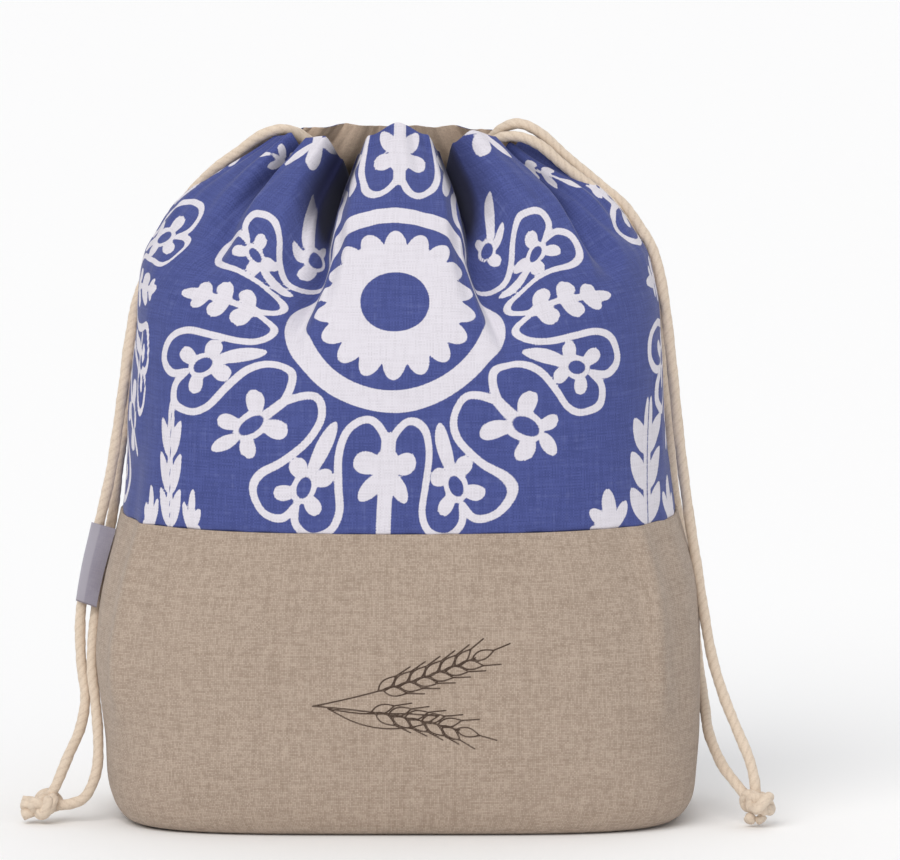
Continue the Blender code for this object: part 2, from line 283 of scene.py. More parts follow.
def finishMaterial(tree, s, colour, height):
    # surface: a value for each of surfaceNames; bump: strength and distance in metres
    shader = tree.nodes["Principled BSDF"]
    strength, distance = s["bump"]
    bump = addNode(tree, "Bump", {"Strength": strength, "Distance": distance, "Height": height})
    tree.links.new(colour, shader.inputs["Base Color"])
    tree.links.new(bump.outputs[0], shader.inputs["Normal"])
    for name, value in zip(surfaceNames, s["surface"]):
        shader.inputs[name].default_value = value


linenSet = {
    "pale": (0.500, 0.400, 0.322),
    "dark": (0.300, 0.226, 0.172),
    "ink": (0.040, 0.020, 0.012),
    "weave": (0.74, 4.5, 0.6),      # pitch, slub length and wander in mm
    "surface": (0.9, 0.12, 0.5, 0.25),
    "bump": (0.55, 0.00018),
}
# the lining's colours are paler than the natural linen's: partly its own paler colour, partly painted light
# that lifts it against the shade inside the bag
liningSet = {
    **linenSet,
    "pale": (0.90, 0.71, 0.56),
    "dark": (0.66, 0.49, 0.37),
    "shadow": (0.02, 0.014, 0.012),
}


def makeLinen(name, s, inked):
    material, tree = newMaterial(name)
    tone, height, cloud = useWeave(tree, s["weave"])
    # each thread's own tone and the soft bands, with painted shade where the threads dip under
    depth = plus(times(spread(tone, 0.32, 0.68), 0.54), times(spread(cloud, 0.34, 0.64), 0.26))
    depth = plus(depth, calc("SUBTRACT", times(height, 0.52), 0.13))
    colour = blend(depth, s["dark"], s["pale"])
    if inked:
        line = spread(readNumber(tree, "ink"), 0.20, 0.46, 1.0, 0.0)
        colour = blend(times(line, spread(tone, 0.2, 0.6, 0.72, 0.95)), colour, s["ink"])
    else:
        # painted shade: the lining darkens towards its shadow colour further down inside the bag
        colour = blend(spread(readNumber(tree, "paintedShade"), 0.1, 1.0, 0.0, 0.93), colour, s["shadow"])
    finishMaterial(tree, s, colour, height)
    return material


printSet = {
    "blue": (0.0740, 0.0950, 0.2950),
    "blueDeep": (0.0520, 0.0680, 0.2250),
    "blueWorn": (0.125, 0.150, 0.360),
    # painted shade colour for the deep folds
    "shadow": (0.004, 0.005, 0.034),
    "white": (0.76, 0.73, 0.79),
    "whiteShade": (0.62, 0.59, 0.64),
    "creep": 0.35,          # mm, how far the ink runs along a thread
    "softness": 0.22,       # mm to each side of a printed edge
    "weave": (0.62, 14.0, 0.35),
    "surface": (0.85, 0.15, 0.45, 0.25),
    "bump": (0.5, 0.00012),
}


def makePrinted():
    s = printSet
    material, tree = newMaterial("printed linen")
    tone, height, cloud = useWeave(tree, s["weave"])
    edge = plus(readNumber(tree, "print"), times(calc("SUBTRACT", tone, 0.5), s["creep"]))
    white = spread(edge, -s["softness"], s["softness"])
    blue = blend(spread(tone, 0.3, 0.72), s["blueDeep"], s["blue"])
    blue = blend(times(spread(cloud, 0.52, 0.72), 0.55), blue, s["blueWorn"])
    # the white ink follows each thread's tone, with painted shade where the threads dip under
    threads = plus(times(spread(tone, 0.25, 0.6), 0.6), times(height, 0.4))
    colour = blend(white, blue, blend(threads, s["whiteShade"], s["white"]))
    # painted shade: folds turned in from the light are darkened towards the shadow colour
    colour = blend(spread(readNumber(tree, "paintedShade"), 0.27, 1.0, 0.0, 0.97), colour, s["shadow"])
    finishMaterial(tree, s, colour, height)
    return material


ropeSet = {
    "pale": (0.83, 0.70, 0.565),
    "dark": (0.58, 0.455, 0.345),
    "yarns": 7.0,
    "yarnStretch": 0.10,
    "surface": (0.9, 0.3, 0.4, 0.2),
    "bump": (0.5, 0.0004),
}


def makeRopeCotton():
    s = ropeSet
    material, tree = newMaterial("cotton rope")
    # fine yarns run along each strand; the map's second axis already turns with the strands
    along, around = addNode(tree, "SeparateXYZ", {0: clothPlace(tree)}).outputs[:2]
    fibres = grain(joinXyz(times(along, s["yarnStretch"]), times(around, s["yarns"]), 0.0), 3.0, 4.0, 0.65)
    fluff = grain(joinXyz(along, around, 2.0), 1.1, 3.0)
    depth = plus(times(spread(fibres, 0.30, 0.66), 0.40), times(spread(fluff, 0.3, 0.7), 0.25))
    # painted shade: the grooves between the strands are darkened
    depth = times(plus(depth, 0.40), spread(readNumber(tree, "groove"), 0.0, 0.7, 0.45, 1.0))
    finishMaterial(tree, s, blend(depth, s["dark"], s["pale"]), fibres)
    return material


tapeSet = {
    "main": (0.290, 0.270, 0.335),
    "edge": (0.400, 0.380, 0.440),
    "shade": (0.20, 0.17, 0.19),
    "weave": (0.34, 4.0, 0.05),
    "surface": (0.55, 0.2, 0.5, 0.35),
    "bump": (0.4, 0.0001),
}


def makeTape():
    s = tapeSet
    material, tree = newMaterial("woven tape")
    tone, height = useWeave(tree, s["weave"])[:2]
    across, up = addNode(tree, "SeparateXYZ", {0: clothPlace(tree)}).outputs[:2]
    colour = blend(spread(across, 3.4, 4.2), s["edge"], s["main"])
    colour = blend(times(spread(tone, 0.3, 0.7), 0.35), colour, s["edge"])
    # the lowest mm of the tape is darker
    colour = blend(times(spread(up, 0.9, 0.3), 0.8), colour, s["shade"])
    finishMaterial(tree, s, colour, height)
    return material


linen = makeLinen("natural linen", linenSet, True)
liningLinen = makeLinen("lining linen", liningSet, False)
printed = makePrinted()
cotton = makeRopeCotton()
tape = makeTape()
print("materials ready")


# cords

cordSet = {
    "radius": 2.32,
    "strands": 3,
    "lay": 13.0,        # mm for one turn of a strand
    "groove": 0.085,    # depth of the grooves, share of the radius
    "around": 24,
    "step": 0.9,
    "endRise": 0.3,     # how far the closed ends stand out, share of the radius
    "turnEach": 1.7,    # radians between the cords' first turns
}
cordRoutes = {
    "cord_left_outer": [
        (-38, 21, 285), (-47, 17.5, 292.6), (-57.5, 17, 290.9), (-69, 19, 282.7), (-80, 21, 274.2),
        (-88.5, 26, 265.1), (-95, 30, 255.6), (-100.5, 29.5, 244.9), (-105.5, 26, 234.5), (-111.6, 17, 221),
        (-115.2, 4, 203), (-117.6, -3, 184), (-120.6, -4, 163), (-123.6, -5, 145), (-127.5, -5.3, 128),
        (-132.5, -5.5, 107), (-136.1, -6.5, 88), (-136.1, -9.5, 68), (-134.1, -14.5, 52),
        (-136.1, -21, 39), (-141.2, -27, 27.5), (-146.5, -32.2, 15.2), (-149.5, -33.4, 11),
    ],
    "cord_left_inner": [
        (-36, 26.5, 285), (-45, 23.5, 291.4), (-57, 23, 288.9), (-69, 25.5, 279.7), (-80, 27.5, 271.2),
        (-86.5, 33, 261.3), (-92, 35.5, 252), (-98, 35.5, 241.5), (-104.5, 31.5, 230),
        (-110.5, 26, 211), (-115.5, 20, 190), (-118, 17, 166), (-120.5, 10, 146),
        (-122.8, 3, 127), (-127, -0.5, 106), (-130, -5, 86), (-131.3, -14, 66),
        (-129.6, -19, 50), (-128.3, -26, 35), (-128.9, -31, 22), (-133.5, -33.2, 11.3), (-140.2, -33.8, 8),
        (-146, -34, 7.6),
    ],
    "cord_right_outer": [
        (37, 21, 285.5), (44.5, 18, 292.9), (52, 15.5, 295.5), (60.5, 15, 291.8), (69.7, 15, 283.6),
        (78.3, 15, 276.1), (87.8, 14, 268.4), (97.3, 13, 260.1), (104.4, 10.5, 250.4), (109.7, 7, 240.8),
        (112.8, 4, 229), (115.3, 0, 212), (117.5, -3, 192), (119.7, -5, 170), (122.2, -7, 148),
        (124.9, -9, 128), (128, -12, 108), (131.1, -16, 88), (134.4, -22, 70),
        (139, -30, 55), (144.7, -36, 41), (150, -41, 28.6), (152.3, -43.6, 19.3), (152.6, -44.8, 13),
    ],
    "cord_right_inner": [
        (37, 15, 283.5), (43.5, 12.5, 289.4), (52, 10.5, 290.3), (61, 10, 286.6), (70.3, 10, 278.6),
        (79.5, 10, 271.3), (89.3, 9.8, 264), (96.6, 10.5, 254.6), (103.7, 13.5, 244.6),
        (110.2, 17.5, 232), (113, 20.5, 213), (113.6, 23, 190), (116.4, 25, 165), (119.1, 28, 135),
        (124.1, 31, 108), (127.8, 34, 86), (128.6, 36, 70), (130.4, 28, 55), (132, 8, 44.6),
        (133.4, -14, 35.5), (138.3, -30, 25.1), (143.6, -39, 18.7), (149.5, -44.4, 12),
    ],
}


def unit(vectors):
    return vectors / np.linalg.norm(vectors, axis=-1, keepdims=True)


def ropeSurface(path, radius, turned=0.0):
    # points, faces, uv and groove number of a twisted rope along the path, ends closed
    s = cordSet
    around, count = s["around"], len(path)
    tangent = unit(np.gradient(path, axis=0))
    side = unit(np.cross(tangent[0], (0.3, 0.9, 0.2)))
    angles = np.arange(around) * 2 * math.pi / around
    length = runLength(path)
    points, uv, groove = [], [], []
    for place, way, far in zip(path, tangent, length):
        side = unit(side - way * np.dot(side, way))
        ring = np.outer(np.cos(angles), side) + np.outer(np.sin(angles), np.cross(way, side))
        twist = turned + 2 * math.pi * far / s["lay"]
        lobe = np.abs(np.cos((angles - twist) * s["strands"] / 2))
        uneven = 1 + 0.035 * math.sin(far * 0.31 + turned) + 0.02 * math.sin(far * 0.83)
        size = radius * uneven * (1 - s["groove"] * (1 - lobe**0.7))
        points.append(place + size[:, None] * ring)
        uv.append(np.stack([np.full(around, far), (angles - twist) * radius], 1))
        groove.append(lobe)
    faces = [face[::-1] for face in gridFaces(count, around)]
    # each end closes on a point a little beyond it
    first, last, top = count * around, count * around + 1, (count - 1) * around
    beyond = radius * s["endRise"]
    points += [path[0] - tangent[0] * beyond, path[-1] + tangent[-1] * beyond]
    for c in range(around):
        d = (c + 1) % around
        faces += [(first, c, d), (last, top + d, top + c)]
    uv += [(0, 0), (length[-1], 0)]
    return np.vstack(points), faces, np.vstack(uv), np.concatenate([*groove, [0.5, 0.5]])


def joinSurfaces(parts):
    points, faces, uv, groove = zip(*parts)
    starts = np.cumsum([0, *map(len, points)]).tolist()
    joined = [tuple(i + start for i in face) for start, some in zip(starts, faces) for face in some]
    return np.vstack(points), joined, np.vstack(uv), np.concatenate(groove)


def addRope(node, surface):
    points, faces, uv, groove = surface
    return addPiece(node + "_rope", node, points, faces, cotton, uv.T, {"groove": groove})


cords = {}
for order, (name, route) in enumerate(cordRoutes.items()):
    path = smoothCurve(route, cordSet["step"])
    cords[name] = (addRope(name, ropeSurface(path, cordSet["radius"], cordSet["turnEach"] * order)), path)
print("cords laid")


# knots: each a pair of cords tied in one overhand knot, with short cut tails

knotSet = {
    "rope": 2.3,
    "step": 0.8,
    "inner": 0.56,      # the second cord follows the first inside it
    "tailWider": 1.05,
    "floor": 0.15,
    "left": {
        "middle": (-151.6, -35.0, 8.1), "size": (2.75, 1.95, 2.6), "turn": (12, -14, 24), "behind": 3.4,
        "tails": [((-156, -37, 5.4), (-160.2, -38.6, 4.0)), ((-156, -35.5, 9.0), (-160.4, -36.4, 9.6))],
    },
    "right": {
        "middle": (154.2, -45.4, 10.4), "size": (2.15, 2.4, 2.75), "turn": (-8, 10, 14), "behind": 3.2,
        "tails": [((154.2, -47, 4.4), (155.4, -48.2, 3.0)), ((150.8, -47, 4.6), (149.8, -48.6, 3.0))],
    },
}


def knotPath(s, part, behind):
    # a trefoil: three lobes that pass over and under each other
    t = np.linspace(0, 2 * math.pi, 90)
    flat = np.stack([np.sin(t) + 2 * np.sin(2 * t), np.cos(t) - 2 * np.cos(2 * t), -np.sin(3 * t)], 1)
    flat *= np.array(s["size"]) * (part, part, 1)
    turned = Euler([math.radians(v) for v in s["turn"]]).to_matrix()
    return flat @ np.array(turned).T + np.array(s["middle"]) + (0, behind, 0)


def makeKnot(side):
    s, rope = knotSet[side], knotSet["rope"]
    runs = [(knotPath(s, 1, 0), rope, 0.4), (knotPath(s, knotSet["inner"], -s["behind"]), rope, 2.0)]
    for k, (root, tip) in enumerate(s["tails"]):
        runs.append(([root, (np.array(root) + tip) / 2, tip], rope * knotSet["tailWider"], 1.1 * k))
    surface = joinSurfaces([ropeSurface(smoothCurve(path, knotSet["step"]), radius, turned)
                            for path, radius, turned in runs])
    heights = surface[0][:, 2]
    np.maximum(heights, knotSet["floor"], out=heights)
    return addRope("knot_" + side, surface)


knots = {side: makeKnot(side) for side in ("left", "right")}
for name, (piece, path) in cords.items():
    length = float(runLength(path)[-1])
print("knots tied")


# the bag's shape, close to its solids but finer in the folds

sections = np.array([   # height, half widths left and right, middle, half depth, squareness
    (0, 109.5, 115, -1, 66.5, 4),
    (1.5, 115.8, 119.5, -1, 70.5, 4),
    (5, 119.8, 123.8, -1, 73.2, 3.9),
    (11, 122.6, 127, -1, 75.6, 3.8),
    (20, 124.5, 128.3, -1.5, 77, 3.7),
    (36, 125.8, 129, -1.5, 79, 3.5),
    (67, 129.8, 129.2, -2, 80, 3.3),
    (86, 128.7, 128.7, -2, 80, 3.2),
    (105, 125, 126.8, -2, 79.5, 3.1),
    (131, 118.2, 119.2, -2, 78, 2.9),
    (153, 115.8, 115.9, -1.7, 76.7, 2.8),
    (172, 115.2, 114.3, -1.3, 74.8, 2.7),
    (195, 113.2, 113.4, 0, 71.7, 2.6),
    (210, 111.8, 112.4, 1.3, 67.8, 2.5),
    (221, 111.6, 111.6, 2.5, 63.5, 2.45),
    (233, 110.8, 109.2, 4, 58, 2.4),
    (243, 108.1, 106.5, 6, 52.5, 2.35),
    (253, 103, 101, 8.4, 46.7, 2.3),
    (261, 97.8, 96, 10.7, 41.9, 2.3),
    (270, 90.2, 89.5, 13.8, 36.3, 2.3),
    (277, 82, 82.5, 16.2, 31.8, 2.3),
    (283, 74.5, 75, 18.2, 27.8, 2.3),
    (289, 66, 66, 19.9, 23.6, 2.3),
    (297, 54.5, 55, 21, 19.5, 2.3),
])
foldColumns = ("seam", "shoulder", "dent", "mouth", "tuck", "drop", "foot")
folds = np.array([
    (-2, -2, 4, -2, 6, 4.6, 230),
    (-1.88, -1.88, 0.5, -1.86, 3, 4.6, 235),
    (-1.76, -1.76, 5, -1.74, 7, 3.6, 225),
    (-1.64, -1.65, 0.5, -1.62, 1, 3.8, 235),
    (-1.5, -1.51, 4, -1.47, 7, 4.2, 232),
    (-1.36, -1.36, 0.5, -1.33, 1, 5.2, 235),
    (-1.24, -1.22, 3, -1.2, 6, 7, 238),
    (-1.12, -1.1, 0.5, -1.09, 1.5, 9, 240),
    (-1, -1, 1.5, -1, 3.5, 8.2, 240),
    (-0.88, -0.89, 0.5, -0.91, 1, 6.2, 240),
    (-0.78, -0.78, 1.6, -0.835, 2, 4.8, 238),
    (-0.68, -0.68, 1, -0.765, 1, 4.2, 238),
    (-0.6, -0.6, 5.5, -0.69, 8, 5.5, 232),
    (-0.53, -0.545, 0, -0.64, 0.5, 6.5, 230),
    (-0.44, -0.43, 1.2, -0.51, 0, 6, 222),
    (-0.375, -0.325, 10, -0.4, 13, 5, 206),
    (-0.305, -0.25, 18, -0.335, 28, 3, 196),
    (-0.25, -0.215, 8, -0.285, 14, 2, 205),
    (-0.14, -0.163, 0.6, -0.2, 3.5, 2.6, 225),
    (0, 0, 0, 0, 0, 0, 235),
    (0.14, 0.163, 0.6, 0.2, 3.5, 2.2, 225),
    (0.25, 0.22, 7.5, 0.29, 13, 1.5, 205),
    (0.31, 0.258, 17, 0.33, 25, 2, 194),
    (0.385, 0.335, 9, 0.385, 7.5, 2.6, 206),
    (0.47, 0.46, 1, 0.515, 0, 3.6, 230),
    (0.58, 0.635, 0, 0.68, 0.5, 6, 228),
    (0.66, 0.69, 6.5, 0.735, 9, 8, 228),
    (0.76, 0.79, 1.6, 0.81, 2.4, 7.5, 238),
    (0.84, 0.86, 2, 0.875, 3.2, 8.2, 240),
    (0.92, 0.93, 0.5, 0.94, 1.2, 7.4, 240),
    (1, 1, 1.2, 1.01, 3.5, 7.8, 240),
    (1.12, 1.1, 0.5, 1.09, 1.5, 9.5, 240),
    (1.23, 1.22, 3.5, 1.2, 6, 7.6, 238),
    (1.35, 1.36, 0.5, 1.34, 1, 6, 235),
    (1.49, 1.5, 4.5, 1.47, 7, 5, 230),
    (1.62, 1.64, 0.5, 1.61, 1, 4.6, 235),
    (1.75, 1.75, 4, 1.74, 7, 4.4, 228),
    (1.88, 1.88, 0.5, 1.88, 2, 4.6, 235),
    (2, 2, 4, 2, 6, 4.6, 230),
])
ridges = [   # share, width, from, to, lift
    (-0.7, 0.034, 40, 145, 3),
    (0.64, 0.032, 40, 140, 3.2),
    (-0.79, 0.05, 30, 170, -1.2),
    (0.73, 0.045, 30, 150, -1.3),
    (-0.8, 0.03, 150, 228, 1.3),
    (0.83, 0.03, 145, 215, 1),
    (-0.25, 0.1, 20, 100, -0.7),
    (0.18, 0.12, 30, 110, -0.8),
    (1.35, 0.05, 40, 130, 1.4),
    (-1.37, 0.05, 40, 130, 1.4),
]
shape = {
    "seamHeight": 130.0,
    "seamRise": 1.2,
    "gatherHeight": 200.0,
    "gatherLow": 225.0,    # the lining's rows lie close together above this
    "dropHeight": 230.0,
    "shoulderHeight": 253.0,
    "mouthHeight": 297.0,
    "tuckSlope": math.radians(62),
    "backLevel": 0.82,     # how much less the tucks sink along the back rim
    "backFrom": 1.02,      # share round the bag where that starts; it grows over backSpan and backRise
    "backSpan": 0.2,
    "backRise": 22.0,
    "sideDrop": 28.0,      # the sides' rim begins to sink this much higher
    "sideFrom": 0.7,
    "sideSpan": 0.1,
    "ridgeFade": 25.0,
    "quarter": 165.5,      # a quarter of the cloth's loop
}
outlineAngles = np.linspace(0, math.pi / 2, 401)


def sectionAt(height):
    heights = sections[:, 0]
    k = int(np.clip(np.searchsorted(heights, height) - 1, 0, len(heights) - 2))
    span = heights[k + 1] - heights[k]
    t = min(1.0, max(0.0, (height - heights[k]) / span))
    slopes = []
    for j in (k, k + 1):
        a, b = max(j - 1, 0), min(j + 1, len(heights) - 1)
        slopes.append((sections[b, 1:] - sections[a, 1:]) / (heights[b] - heights[a]) * span)
    low, high = sections[k, 1:], sections[k + 1, 1:]
    return (low * (2 * t**3 - 3 * t**2 + 1) + high * (3 * t**2 - 2 * t**3)
            + slopes[0] * (t**3 - 2 * t**2 + t) + slopes[1] * (t**3 - t**2))


def outlineAt(height, share):
    # x, y and outward x, y for an array of shares at one height
    left, right, middle, deep, square = sectionAt(height)
    x, y = np.empty_like(share), np.empty_like(share)
    nx, ny = np.empty_like(share), np.empty_like(share)
    quarter = np.where(np.abs(share) <= 1, np.abs(share), 2 - np.abs(share))
    for picked, half in ((share >= 0, right), (share < 0, left)):
        curveX = half * np.sin(outlineAngles) ** (2 / square)
        curveY = deep * np.cos(outlineAngles) ** (2 / square)
        length = np.concatenate([[0], np.cumsum(np.hypot(np.diff(curveX), np.diff(curveY)))])
        length /= length[-1]
        x[picked] = np.interp(quarter[picked], length, curveX)
        y[picked] = np.interp(quarter[picked], length, curveY)
        nx[picked] = (x[picked] / half) ** (square - 1) / half
        ny[picked] = (y[picked] / deep) ** (square - 1) / deep
    size = np.hypot(nx, ny)
    side = np.where(share >= 0, 1, -1)
    front = np.where(np.abs(share) <= 1, -1, 1)
    return side * x, middle + front * y, side * nx / size, front * ny / size


def foldRows(counts):
    # fold numbers for each mesh column: the places run straight from fold to fold, the depths ease
    rows = []
    straight = np.isin(foldColumns, ("seam", "shoulder", "mouth"))
    for k, count in enumerate(counts):
        t = np.arange(count)[:, None] / count
        rows.append(folds[k] + (folds[k + 1] - folds[k]) * np.where(straight, t, smooth(t)))
    return dict(zip(foldColumns, np.vstack(rows).T))


def plainRows(share):
    zero = np.zeros_like(share)
    return {**dict.fromkeys(foldColumns, zero), "seam": share, "shoulder": share, "mouth": share,
            "foot": zero + shape["dropHeight"]}


def wallRow(height, row, push=0.0):
    # one level row of the outer face; push moves it out (mm), a number or one for each column
    s = shape
    if height <= s["shoulderHeight"]:
        gather = smooth((height - s["gatherHeight"]) / (s["shoulderHeight"] - s["gatherHeight"]))
        share = row["seam"] + (row["shoulder"] - row["seam"]) * gather
        depth = row["dent"] * smooth((height - row["foot"]) / (s["shoulderHeight"] - row["foot"]))
    else:
        rise = (height - s["shoulderHeight"]) / (s["mouthHeight"] - s["shoulderHeight"])
        share = row["shoulder"] + (row["mouth"] - row["shoulder"]) * rise
        depth = row["dent"] + (row["tuck"] - row["dent"]) * smooth(rise)
    x, y, nx, ny = outlineAt(height, share)
    lift = np.zeros_like(share)
    for place, wide, low, high, size in ridges:
        along = ramp(height, low, s["ridgeFade"]) * ramp(height, high, -s["ridgeFade"])
        lift += size * np.exp(-((share - place) / wide) ** 2) * along
    inward = depth * math.cos(s["tuckSlope"]) - lift - push
    seam = np.abs(row["seam"])
    level = s["backLevel"] * ramp(seam, s["backFrom"], s["backSpan"])
    level = level * ramp(height, s["shoulderHeight"], s["backRise"])
    z = height - depth * math.sin(s["tuckSlope"]) * (1 - level)
    start = s["dropHeight"] + s["sideDrop"] * ramp(seam, s["sideFrom"], s["sideSpan"])
    z = z - row["drop"] * smooth((height - start) / (s["mouthHeight"] - start))
    side = np.minimum(np.abs(share), 2 - np.abs(share))
    z = z + s["seamRise"] * smooth(side) * math.exp(-((height - s["seamHeight"]) / s["ridgeFade"]) ** 2)
    return np.stack([x - nx * inward, y - ny * inward, z], 1), depth


def waves(u, v, seed, count, shortest, longest, slant):
    # soft uneven waves over the cloth, between about -1 and 1; slant 0 runs them up the cloth
    rng = np.random.default_rng(seed)
    turn = 6.28     # radians
    total = np.zeros_like(u)
    for k in range(count):
        size = shortest * (longest / shortest) ** rng.random()
        lean = slant * (rng.random() * 2 - 1)
        total += np.sin((u * math.cos(lean) + v * math.sin(lean)) * 2 * math.pi / size + rng.random() * turn
                        + 0.8 * np.sin(v / (17 + 20 * rng.random()) + rng.random() * turn))
    return total / math.sqrt(count) / 1.4


# the print: own medallion, scroll, flowers and sprigs, in mm on the flat cloth

printLayout = {
    "repeat": 227.0,
    "stretch": 1.02,
    "shift": 1.0,
    "footShift": 5.0,       # how much further the lowest part lies to the left, up to footHeight
    "footHeight": 90.0,
    "centre": 100.8,        # height of a medallion's middle above the seam
    "wander": 0.5,          # how far the print strays, mm
    "strayAcross": (11, 3, 40, 80, 3.1),
    "strayUp": (12, 3, 40, 80, 3.1),
    "letOut": -0.012,       # at the lower left, share of its width
    "drawnIn": 0.045,       # at the lower right
    "headLift": 2.8,        # the head over the ring leans to the right and is narrower
    "headNarrow": 0.14,
    "headLean": 2.2,
    "footNarrow": 0.12,     # right of the lower head, share
    "levelNarrow": 0.09,    # the level heads, from above and below, share
    "disc": 14.3,
    "petals": 18,
    "petalRoot": 28.4,
    "petalTip": 35.0,
    "ringInner": 39.2,
    "ringOuter": 48.6,
    "ringTop": 1.5,         # how much thinner the ring is at the top
    "line": 1.65,           # half width of the scroll line
    "sprigs": ((-91.0, -4.0, 2.1), (123.5, 2.5, 0.95)),     # foot, lean, how much narrower
    "tridents": ((-94.5, 185.5, 36), (96.5, 190.0, -44)),   # middle, turn in degrees
    "tridentSize": 1.1,
    "foldFlowers": ((-1, -58.0, 148.0, 0.8), (1, 64.2, 152.3, 1.25)),   # side, middle, how much shorter
    "flowerLean": 0.63,
    # small sprays in the gathers: middle, the way they point in degrees, size
    "sprays": ((-116.0, 183.0, -160, 0.55), (130.0, 171.0, -60, 0.75), (150.0, 146.0, -50, 0.6),
               (-150.0, 166.0, -110, 0.6)),
    "pleatAt": 106.0,
    "pleatWide": 18.0,
    "pleatLow": 42.0,
    "pleatHigh": 8.0,
    "leftSag": 12.5,        # the next medallions lie lower or further round beside the gathers
    "rightShift": 14.0,
}
# half a turn of the scroll, from a head on the inner side to a flower's foot on the outer side:
# degrees from the head's axis, mm from the middle
scrollTurn = [
    (0, 63), (3.2, 56.5), (8.0, 52.8), (13.2, 54.5), (16.6, 60.5), (16.2, 70), (13.2, 82),
    (11.0, 93), (12.2, 101.5), (16.5, 106), (20.8, 103), (22.5, 96),
]
# motifs stand on an axis with +y along it. stem and split: half width, foot, tip. heart and eye:
# across, up, turn, half length, half width. leaves: one or a mirrored pair, across, up, turn from
# the axis, length, width, point, skew. The eye and the split are left blue.
motifs = {
    "outerFlower": {
        "stem": (1.9, 62, 74), "heart": (0, 81.5, 0, 9.2, 5.2), "eye": (0, 81.5, 0, 6.8, 2.9),
        "leaves": [(2, 1.5, 78.5, 134, 12.5, 8.2, 0.5, 1.5), (2, 1.5, 84.5, 48, 11.5, 7.2, 0.5, 1.5),
                   (1, 0.8, 88, -6, 15.5, 6, 0.62, 1.2)],
    },
    "innerFlower": {
        "heart": (0, 87.3, 0, 7.2, 5.4), "eye": (0, 87.3, 8, 4.8, 3.1),
        "leaves": [(2, 1, 84.3, 128, 10.6, 7.8, 0.5, 1.5), (2, 1, 89.3, 58, 11.4, 6.8, 0.5, 1.5),
                   (1, 0, 86, 180, 28.5, 6.8, 0.62, 1.35)],
    },
    "fleuron": {
        "stem": (2.9, 60, 118), "heart": (0, 72, 0, 8, 5.4),
        "leaves": [(2, 0, 72, 101, 13.5, 9.4, 0.5, 1.5), (2, 0.5, 73.5, 36, 16, 7, 0.64, 1.15)],
    },
    "sprig": {
        "stem": (1.7, 62, 88),
        "leaves": [(1, 0, 82, 0, 18, 5.6, 0.6, 1.5), (1, 0, 71, 180, 12, 7.5, 0.5, 1.2),
                   (2, 0, 63, 50, 13.5, 9, 0.55, 1.6), (2, 0, 75, 44, 12.5, 8, 0.55, 1.6),
                   (2, 0, 85, 36, 10, 5.6, 0.6, 1.5)],
    },
    "standingSprig": {   # between two medallions, with a split midrib and low leaves beside it
        "stem": (2.8, -5, 44), "split": (0.42, -5, 52),
        "leaves": [(2, 1.2, 34, 1, 20, 4.6, 0.7, 0.9), (2, 0.8, 1, 34, 19, 8.6, 0.74, 0.85),
                   (2, 0.8, 15, 34, 20, 8.6, 0.74, 0.85), (2, 0.8, 30, 34, 19, 8.6, 0.74, 0.85),
                   (2, 20, -1, 14, 19, 6.5, 0.6, 1.4), (2, 20, -1, 48, 15, 5.6, 0.6, 1.4),
                   (2, 20, -1, -24, 14, 5.4, 0.6, 1.4), (2, 20, -1, 82, 11, 5, 0.6, 1.4)],
    },
    "spray": {
        "stem": (1.3, -16, 12),
        "leaves": [(1, 0, 8, 0, 17, 6, 0.65, 1.2), (2, 0, -14, 46, 13, 6.4, 0.65, 1.3),
                   (2, 0, -3, 46, 15, 6.4, 0.65, 1.3)],
    },
    "trident": {
        "stem": (1.5, 0, 14),
        "leaves": [(1, 0, 4, 180, 15, 5.6, 0.6, 1.3), (2, 0, 4, 122, 11.5, 4.8, 0.6, 1.2)],
    },
    "foldFlower": {   # deep in the gathers, leaning outwards
        "heart": (0, 0, 20, 4.8, 4), "eye": (0, 0, 20, 3.3, 2.6),
        "leaves": [(1, 0.6, 1.5, 22, 17.5, 4.4, 0.66, 1), (1, 0, 0, 66, 11, 4.4, 0.55, 1.4),
                   (1, 0, 0, 145, 10.5, 5.6, 0.55, 1.4), (1, 0, 0, -50, 7.5, 3.6, 0.55, 1.4)],
    },
}


def turned(x, y, degrees):
    # the same points along a direction, and across it to the left
    c, s = math.cos(math.radians(degrees)), math.sin(math.radians(degrees))
    return x * c + y * s, y * c - x * s


def leaf(x, y, heading, length, width, point, skew):
    # positive inside: point 0.5 has round ends, 1 sharp ones; skew above 1 widens its tip
    along, across = turned(x, y, heading)
    t = np.clip(along / length, 0.002, 0.998)
    k = t**skew
    half = width / 2 * (4 * k * (1 - k)) ** point
    slope = np.clip(half * point * (1 - 2 * k) / (k * (1 - k)) * skew * t ** (skew - 1) / length, -2.5, 2.5)
    inside = (half - np.abs(across)) / np.sqrt(1 + slope**2)
    beyond = np.hypot(along - np.clip(along, 0, length), across)
    return np.where((along > 0) & (along < length), inside, -beyond)


def oval(x, y, across, up, turn, long, wide):
    along, aside = turned(x - across, y - up, 90 - turn)
    return (1 - np.hypot(along / long, aside / wide)) * min(long, wide)


def nearLine(x, y, points):
    best = np.full(x.shape, 1e9)
    for (ax, ay), (bx, by) in zip(points, points[1:]):
        dx, dy = bx - ax, by - ay
        t = np.clip(((x - ax) * dx + (y - ay) * dy) / (dx * dx + dy * dy), 0, 1)
        best = np.minimum(best, np.hypot(x - ax - t * dx, y - ay - t * dy))
    return best


def bar(x, y, half, foot, tip):
    return half - nearLine(x, y, [(0, foot), (0, tip)])


def union(*fields):
    return np.maximum.reduce(fields)


